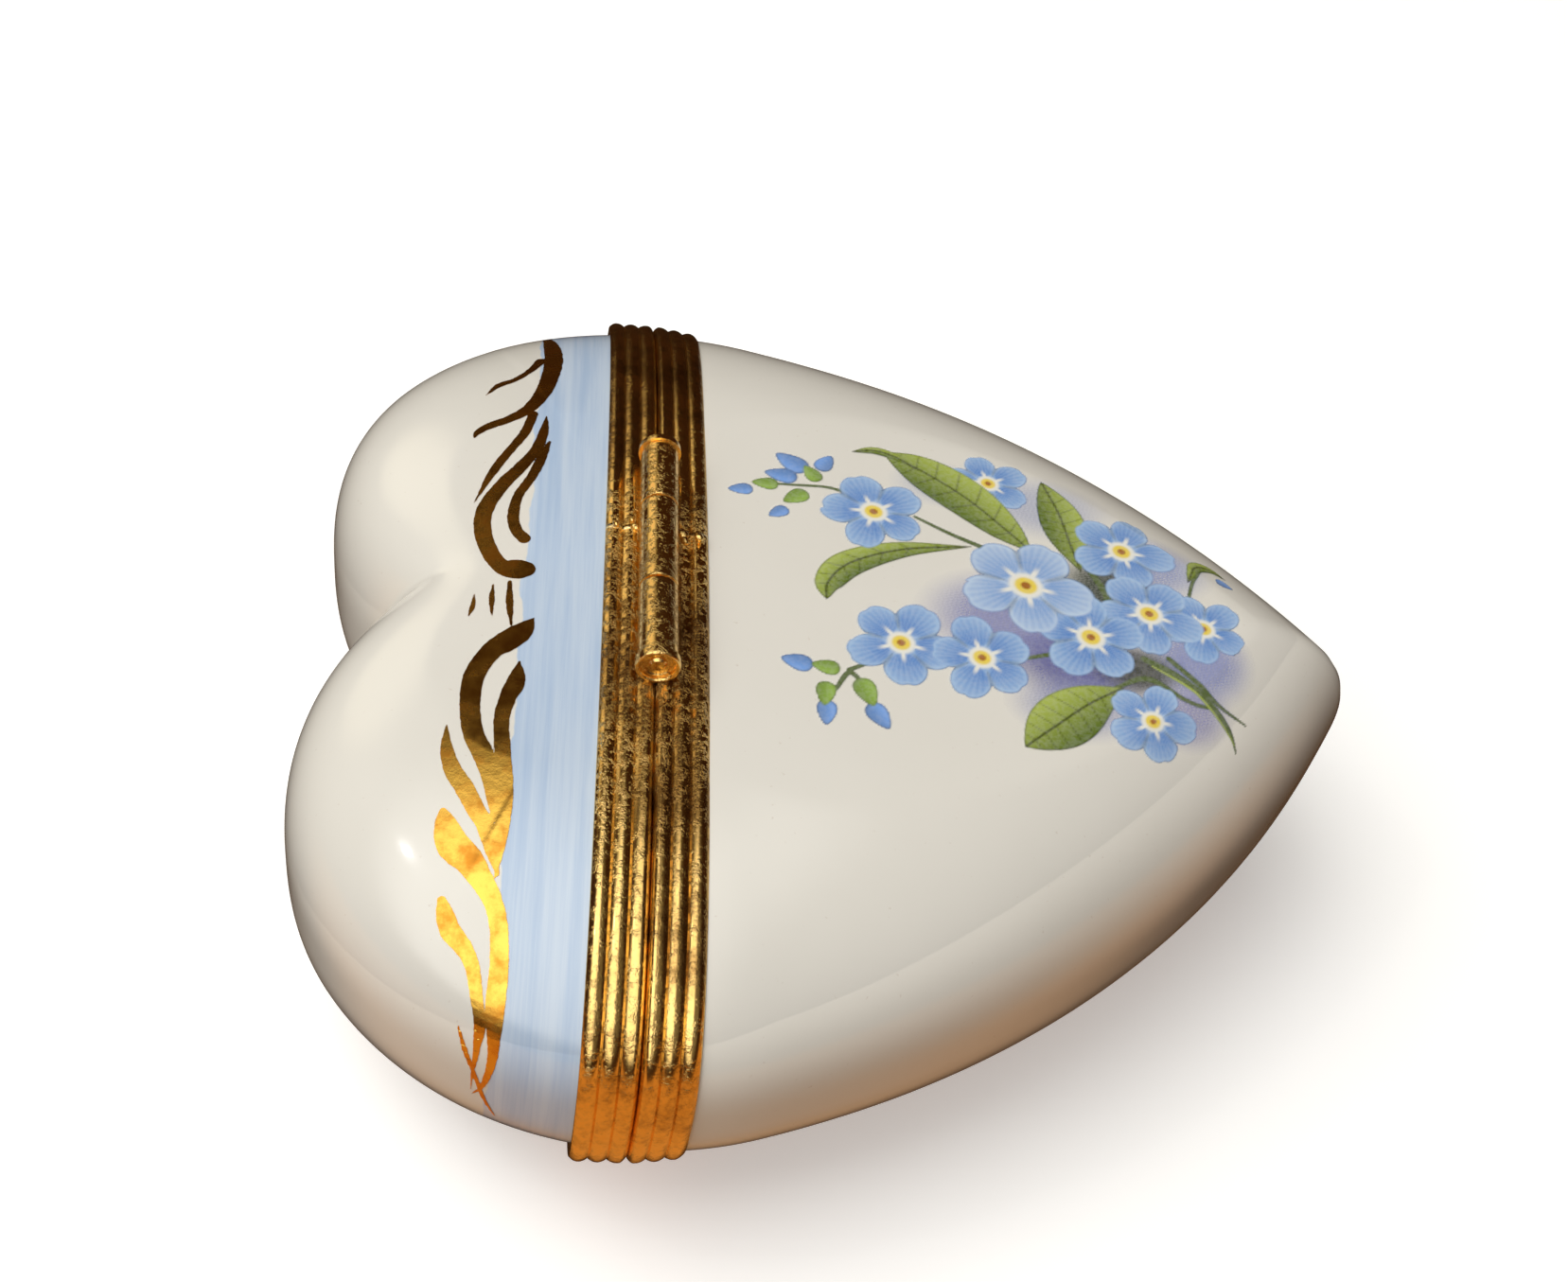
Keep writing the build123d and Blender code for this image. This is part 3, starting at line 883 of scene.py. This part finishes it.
class Graph:
    """A node graph. Each part's inputs are given plainly or by a link."""

    def __init__(self, tree):
        self.nodes, self.links = tree.nodes, tree.links

    def feed(self, socket, value):
        """Links a socket to another one, or sets it."""
        if isinstance(value, bpy.types.NodeSocket):
            self.links.new(value, socket)
        else:
            socket.default_value = value

    def split(self, source):
        """The X, Y and Z of a vector."""
        node = self.nodes.new("ShaderNodeSeparateXYZ")
        self.links.new(source, node.inputs[0])
        return node.outputs

    def stretched(self, source, scale):
        """Coordinates scaled differently along X, Y and Z."""
        node = self.nodes.new("ShaderNodeMapping")
        node.inputs["Scale"].default_value = scale
        self.links.new(source, node.inputs["Vector"])
        return node.outputs["Vector"]

    def noise(self, source, scale, detail=4.0, roughness=0.55):
        """Fractal noise."""
        node = self.nodes.new("ShaderNodeTexNoise")
        node.inputs["Scale"].default_value = scale
        node.inputs["Detail"].default_value = detail
        node.inputs["Roughness"].default_value = roughness
        self.links.new(source, node.inputs["Vector"])
        return node.outputs["Fac"]

    def cells(self, source, scale):
        """Distances from the middles of scattered cells."""
        node = self.nodes.new("ShaderNodeTexVoronoi")
        node.inputs["Scale"].default_value = scale
        self.links.new(source, node.inputs["Vector"])
        return node.outputs["Distance"]

    def ranged(self, source, low, high, out_low, out_high):
        """A value moved smoothly from one range to another."""
        node = self.nodes.new("ShaderNodeMapRange")
        node.interpolation_type = "SMOOTHSTEP"
        names = ("From Min", "From Max", "To Min", "To Max")
        for name, value in zip(names, (low, high, out_low, out_high)):
            node.inputs[name].default_value = value
        self.links.new(source, node.inputs["Value"])
        return node.outputs["Result"]

    def mixed(self, share, first, second):
        """A blend of two colours."""
        node = self.nodes.new("ShaderNodeMix")
        node.data_type = "RGBA"
        self.links.new(share, node.inputs["Factor"])
        for socket, value in ((node.inputs[6], first), (node.inputs[7], second)):
            plain = not isinstance(value, bpy.types.NodeSocket)
            self.feed(socket, (*value, 1.0) if plain else value)
        return node.outputs[2]

    def sum_up(self, operation, first, second=0.0):
        """A sum with two numbers."""
        node = self.nodes.new("ShaderNodeMath")
        node.operation = operation
        self.feed(node.inputs[0], first)
        self.feed(node.inputs[1], second)
        return node.outputs[0]

    def times(self, first, second):
        """A product."""
        return self.sum_up("MULTIPLY", first, second)

    def swing(self, source, reach):
        """A value from 0 to 1, moved to either side of 0."""
        return self.times(self.sum_up("SUBTRACT", source, 0.5), reach)

    def bumped(self, shader, height, strength, distance):
        """Adds a bump to a shader."""
        node = self.nodes.new("ShaderNodeBump")
        node.inputs["Strength"].default_value = strength
        node.inputs["Distance"].default_value = distance
        self.links.new(height, node.inputs["Height"])
        self.links.new(node.outputs["Normal"], shader.inputs["Normal"])


def start_material(name):
    """A material with its graph, its shader and its object coordinates."""
    material = bpy.data.materials.new(name)
    material.use_nodes = True
    graph = Graph(material.node_tree)
    where = graph.nodes.new("ShaderNodeTexCoord").outputs["Object"]
    return material, graph, graph.nodes["Principled BSDF"], where


def glazed(shader):
    """A glassy coat."""
    shader.inputs["IOR"].default_value = 1.52
    shader.inputs["Coat Weight"].default_value = 0.6
    shader.inputs["Coat Roughness"].default_value = 0.03


print("node graphs ready")

# %% [markdown]
# The glaze is warm white and very glossy, with a faint unevenness. The lid's glaze also
# carries the blue band: long brush streaks that follow the seam, and a soft painted edge.

# %% porcelain
BAND_WIDTH = 7.3 * MM
BAND_EDGE = 0.06 * MM


def make_porcelain(name, band_from=None):
    """Glazed porcelain, with a blue band from band_from (along X) to the seam."""
    material, graph, shader, where = start_material(name)
    cloud = graph.noise(where, 90.0, 3.0)
    white = graph.mixed(cloud, tint(234, 231, 222), tint(241, 238, 230))
    speck = graph.ranged(graph.noise(where, 2600.0, 2.0), 0.70, 0.80, 0, 0.35)
    colour = graph.mixed(speck, white, tint(205, 192, 176))
    if band_from is not None:
        wobble = graph.noise(graph.stretched(where, (40, 260, 260)), 1.0, 3.0)
        place_x = graph.sum_up("ADD", graph.split(where)[0], graph.swing(wobble, 1.2 * MM))
        band = graph.ranged(place_x, band_from - BAND_EDGE, band_from + BAND_EDGE, 0, 1)
        streak = graph.noise(graph.stretched(where, (2600, 60, 60)), 1.0, 5.0, 0.7)
        wide = graph.noise(graph.stretched(where, (700, 45, 45)), 1.0, 2.0)
        both = graph.times(graph.sum_up("ADD", streak, wide), 0.5)
        tone = graph.ranged(both, 0.36, 0.64, 0, 1)
        blue = graph.mixed(tone, tint(182, 205, 234), tint(208, 224, 243))
        colour = graph.mixed(band, colour, blue)
    graph.feed(shader.inputs["Base Color"], colour)
    smear = graph.noise(where, 160.0, 3.0)
    graph.feed(shader.inputs["Roughness"], graph.ranged(smear, 0.3, 0.7, 0.10, 0.17))
    glazed(shader)
    graph.bumped(shader, graph.noise(where, 240.0, 2.0), 0.12, 0.08 * MM)
    return material


plain_porcelain = make_porcelain("glazed_porcelain")
band_porcelain = make_porcelain("glazed_porcelain_with_band", SEAM - BAND_WIDTH)
for piece, outside in ((point_porcelain, plain_porcelain), (lobe_porcelain, band_porcelain)):
    piece.data.materials[0] = outside
    piece.data.materials[1] = plain_porcelain
print("porcelain done")

# %% [markdown]
# The brass is bright but handled: darker tarnish has settled in patches, and the plating is
# finely pitted, so it sparkles. The strips are pitted most beside the barrel, and each has a
# soldered butt there, painted as a pale line with a painted highlight on it.

# %% brass


def make_brass(name, pits, tarnish, worn, pit_depth=0.06 * MM, joint=None):
    """Gilt brass with pits, tarnish where it isn't worn bright and, at joint, a soldered butt
    painted pale and bright as a highlight.
    """
    material, graph, shader, where = start_material(name)
    shader.inputs["Metallic"].default_value = 1.0
    patch = graph.noise(where, 120.0, 5.0, 0.65)
    fine = graph.noise(where, 2200.0, 4.0, 0.7)
    gold = graph.mixed(fine, tint(241, 189, 101), tint(255, 224, 150))
    stain = graph.sum_up("ADD", patch, graph.times(fine, 0.35))
    brown = graph.ranged(stain, worn + 0.14, worn + 0.42, 0, tarnish)
    colour = graph.mixed(brown, gold, tint(112, 66, 24))
    pit = graph.ranged(graph.cells(where, 5600.0), 0.05, 0.45, 0, 1)
    rough = graph.times(pit, graph.ranged(fine, 0.48, 0.66, 0.05, 0.9))
    if joint is not None:
        _, along, height = graph.split(where)
        pitted_from = graph.ranged(along, -20 * MM, -10 * MM, 0.15, 1)
        pitted_to = graph.ranged(along, 2 * MM, 8 * MM, 1, 0.15)
        rough = graph.times(rough, graph.times(pitted_from, pitted_to))
        off = graph.sum_up("SUBTRACT", along, joint)
        away = graph.sum_up("ADD", off, graph.swing(patch, 0.8 * MM))
        away = graph.sum_up("ABSOLUTE", away)
        top = graph.ranged(height, MIDDLE, MIDDLE + 1 * MM, 0, 1)
        # The soldered butt is drawn as a pale solder line made brighter still: a painted
        # highlight along the joint.
        solder_line_and_glint = graph.times(top, graph.ranged(away, 0.06 * MM, 0.2 * MM, 1, 0))
        colour = graph.mixed(solder_line_and_glint, colour, tint(255, 232, 176))
        rough = graph.sum_up("ADD", rough, graph.times(solder_line_and_glint, 1.5))
    graph.feed(shader.inputs["Base Color"], colour)
    graph.feed(shader.inputs["Roughness"], graph.ranged(patch, 0.25, 0.75, 0.13, 0.25))
    graph.bumped(shader, rough, pits, pit_depth)
    return material


strip_brass = make_brass("reeded_brass", 1.0, 0.8, 0.45, 0.1 * MM, joint=2.7 * MM)
turned_brass = make_brass("turned_brass", 0.8, 0.5, 0.55, 0.035 * MM)
plain_brass = make_brass("pressed_brass", 0.2, 0.4, 0.6)
print("brass done")

# %% [markdown]
# The gilding and the enamel are layers with ragged edges. The depth and cover attributes fade
# them out, so their outlines are finer than the grid beneath.

# %% painted layers


def faded(graph, shader, cover):
    """Lets a layer show only where it is covered."""
    clear = graph.nodes.new("ShaderNodeBsdfTransparent")
    mix = graph.nodes.new("ShaderNodeMixShader")
    for socket, source in zip(mix.inputs, (cover, clear.outputs[0], shader.outputs[0])):
        graph.links.new(source, socket)
    graph.links.new(mix.outputs[0], graph.nodes["Material Output"].inputs["Surface"])


def attribute(graph, name, output):
    """Reads a named attribute."""
    node = graph.nodes.new("ShaderNodeAttribute")
    node.attribute_name = name
    return node.outputs[output]


def make_gilding():
    """Burnished gold, mottled where it is thin."""
    material, graph, shader, where = start_material("painted_gold")
    shader.inputs["Metallic"].default_value = 1.0
    mottle = graph.noise(where, 420.0, 6.0, 0.7)
    thin = graph.ranged(mottle, 0.42, 0.66, 0, 1)
    colour = graph.mixed(thin, tint(242, 190, 84), tint(212, 140, 48))
    graph.feed(shader.inputs["Base Color"], colour)
    graph.feed(shader.inputs["Roughness"], graph.ranged(mottle, 0.3, 0.7, 0.16, 0.34))
    graph.bumped(shader, mottle, 0.35, 0.08 * MM)
    ragged = graph.swing(graph.noise(where, 2200.0, 3.0), 0.12)
    inside = graph.sum_up("ADD", attribute(graph, "depth", "Fac"), ragged)
    faded(graph, shader, graph.ranged(inside, -0.01, 0.04, 0, 1))
    return material


def make_enamel():
    """Flower enamel in the colours painted on the vertices."""
    material, graph, shader, where = start_material("flower_enamel")
    fine = graph.noise(where, 3600.0, 3.0, 0.6)
    stipple = graph.ranged(fine, 0.35, 0.65, 0, 0.1)
    colour = graph.mixed(stipple, attribute(graph, "paint", "Color"), tint(236, 236, 240))
    graph.feed(shader.inputs["Base Color"], colour)
    graph.feed(shader.inputs["Roughness"], graph.ranged(fine, 0.3, 0.7, 0.11, 0.18))
    glazed(shader)
    faded(graph, shader, attribute(graph, "cover", "Fac"))
    return material


for piece, material in (
    (scroll_gilding, make_gilding()), (bouquet_enamel, make_enamel()),
    (point_strip, strip_brass), (lobe_strip, strip_brass), (pin_rod, plain_brass),
    (plaque_shell, plain_brass), *((tube, turned_brass) for tube in barrel),
    *((lump, turned_brass) for lump in solder),
):
    piece.data.materials.clear()
    piece.data.materials.append(material)
for node in ("clasp_post", "clasp_bead"):
    for own in bpy.data.objects[node].material_slots:
        own.material = plain_brass
print("painted layers done")

# %% [markdown]
# Each piece now joins its CAD body, and the CAD solid that it stands for is hidden.

# %% bodies and stand-ins
for piece, body, node, slot in (
    (point_porcelain, "base", "point_shell", "porcelain"),
    (lobe_porcelain, "lid", "lobe_shell", "porcelain"),
    (point_strip, "base", "point_rim", "brass"),
    (lobe_strip, "lid", "lobe_rim", "brass"),
    (barrel[0], "base", "knuckle_near", "brass_hinge"),
    (barrel[1], "lid", "knuckle_middle", "brass_hinge"),
    (barrel[2], "base", "knuckle_far", "brass_hinge"),
    (barrel[3], "base", "ring_near", "brass_hinge"),
    (barrel[4], "base", "ring_far", "brass_hinge"),
    (pin_rod, "base", "hinge_pin", "brass_hinge"),
    (plaque_shell, "lid", "clasp_plaque", "brass"),
):
    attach(piece, body)
    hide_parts(node)
for lump, body in zip(solder, ("base", "lid")):
    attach(lump, body)
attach(scroll_gilding, "lid")
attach(bouquet_enamel, "base")
print("bodies set")

# %% [markdown]
# The stage is a plain pale floor in a softly lit room. What the brass and the glaze mirror is
# pale overhead and towards the camera, dark on the far side and to the right, and warm below
# the near edge, with a lamp's glow at the far left. Matt light is a gentler copy of that, and
# the camera itself sees only a pale backdrop.

# %% the stage
bpy.ops.object.select_all(action="DESELECT")
bpy.ops.mesh.primitive_plane_add(size=3.0, location=(0, 0, 0))
floor = bpy.context.object
floor.name = "floor"
floor.visible_glossy = floor.visible_diffuse = floor.visible_shadow = False
paper, graph, shader, where = start_material("pale_paper")
cloud = graph.noise(where, 40.0)
colour = graph.mixed(cloud, tint(250, 250, 249), tint(253, 253, 252))
graph.feed(shader.inputs["Base Color"], colour)
shader.inputs["Roughness"].default_value = 0.9
shader.inputs["Specular IOR Level"].default_value = 0.1
shader.inputs["Emission Color"].default_value = (1, 1, 1, 1)
shader.inputs["Emission Strength"].default_value = 0.3
floor.data.materials.append(paper)

world = bpy.context.scene.world or bpy.data.worlds.new("room")
bpy.context.scene.world = world
world.use_nodes = True
graph = Graph(world.node_tree)
way = graph.nodes.new("ShaderNodeTexCoord").outputs["Generated"]
ray = graph.nodes.new("ShaderNodeLightPath")
matt = ray.outputs["Is Diffuse Ray"]
to_right, to_far, upwards = graph.split(way)

facing = graph.sum_up("ADD", upwards, graph.times(to_far, -0.75))
facing = graph.sum_up("ADD", facing, graph.times(matt, 0.28))
open_side = graph.ranged(facing, 0.56, 0.94, 0, 1)
high = graph.ranged(upwards, 0.24, 0.50, 0, 1)
left = graph.ranged(to_right, 0.02, 0.26, 1, 0.08)
ceiling = graph.times(graph.times(open_side, high), left)
bright = graph.mixed(matt, (1.95, 1.92, 1.80), (1.00, 0.99, 0.95))

low = graph.ranged(upwards, -0.05, 0.02, 1, 0)
below = graph.times(low, graph.ranged(to_far, -0.15, 0.30, 1, 0))
warm = graph.mixed(matt, (0.62, 0.28, 0.07), (0.10, 0.04, 0.012))
room = graph.mixed(below, (0.036, 0.015, 0.006), warm)
room = graph.mixed(ceiling, room, bright)

towards_lamp = graph.nodes.new("ShaderNodeVectorMath")
towards_lamp.operation = "DOT_PRODUCT"
towards_lamp.inputs[1].default_value = (-0.56, 0.68, 0.48)
graph.feed(towards_lamp.inputs[0], way)
glow = graph.ranged(towards_lamp.outputs["Value"], 0.925, 0.99, 0, 1)
room = graph.mixed(glow, room, (0.95, 0.82, 0.56))
room = graph.mixed(ray.outputs["Is Camera Ray"], room, (0.96, 0.96, 0.95))
sky = graph.nodes["Background"]
graph.feed(sky.inputs[0], room)
sky.inputs[1].default_value = 1.0


def softbox(name, location, target, wide, high, power, colour=(1, 1, 1)):
    """A rectangular area light aimed at a point, in metres and watts."""
    bpy.ops.object.light_add(type="AREA", location=location)
    lamp = bpy.context.object
    lamp.name = name
    lamp.data.shape = "RECTANGLE"
    lamp.data.size, lamp.data.size_y = wide, high
    lamp.data.energy = power
    lamp.data.color = colour
    aim = Vector(target) - Vector(location)
    lamp.rotation_euler = aim.to_track_quat("-Z", "Y").to_euler()
    return lamp


overhead = softbox("overhead", (-0.34, -0.02, 0.58), (0, 0, 0), 0.50, 0.50, 2.3, (1, 0.99, 0.97))
overhead.visible_glossy = False
softbox("small_window", (-0.36, -0.012, 0.52), (-0.024, -0.018, 0.02), 0.025, 0.035, 0.07)
print("stage set")

# %% [markdown]
# The camera looks down at about 46 degrees from the near side, slightly to the left, and is
# rolled a little, as a hand-held one is.

# %% the camera
right, up = Vector((0.9884, -0.03848, 0.1469)), Vector((-0.07149, 0.73557, 0.67367))
back = right.cross(up).normalized()
turn = Matrix((right, up, back)).transposed().to_4x4()
bpy.ops.object.camera_add()
camera = bpy.context.object
camera.matrix_world = Matrix.Translation(Vector((-18.91, -75.09, 97.92)) * MM) @ turn
camera.data.sensor_width = 36
camera.data.lens = 43.3
camera.data.clip_start, camera.data.clip_end = 0.005, 10
bpy.context.scene.camera = camera
bpy.context.scene.view_settings.view_transform = "Standard"
print("camera ready")
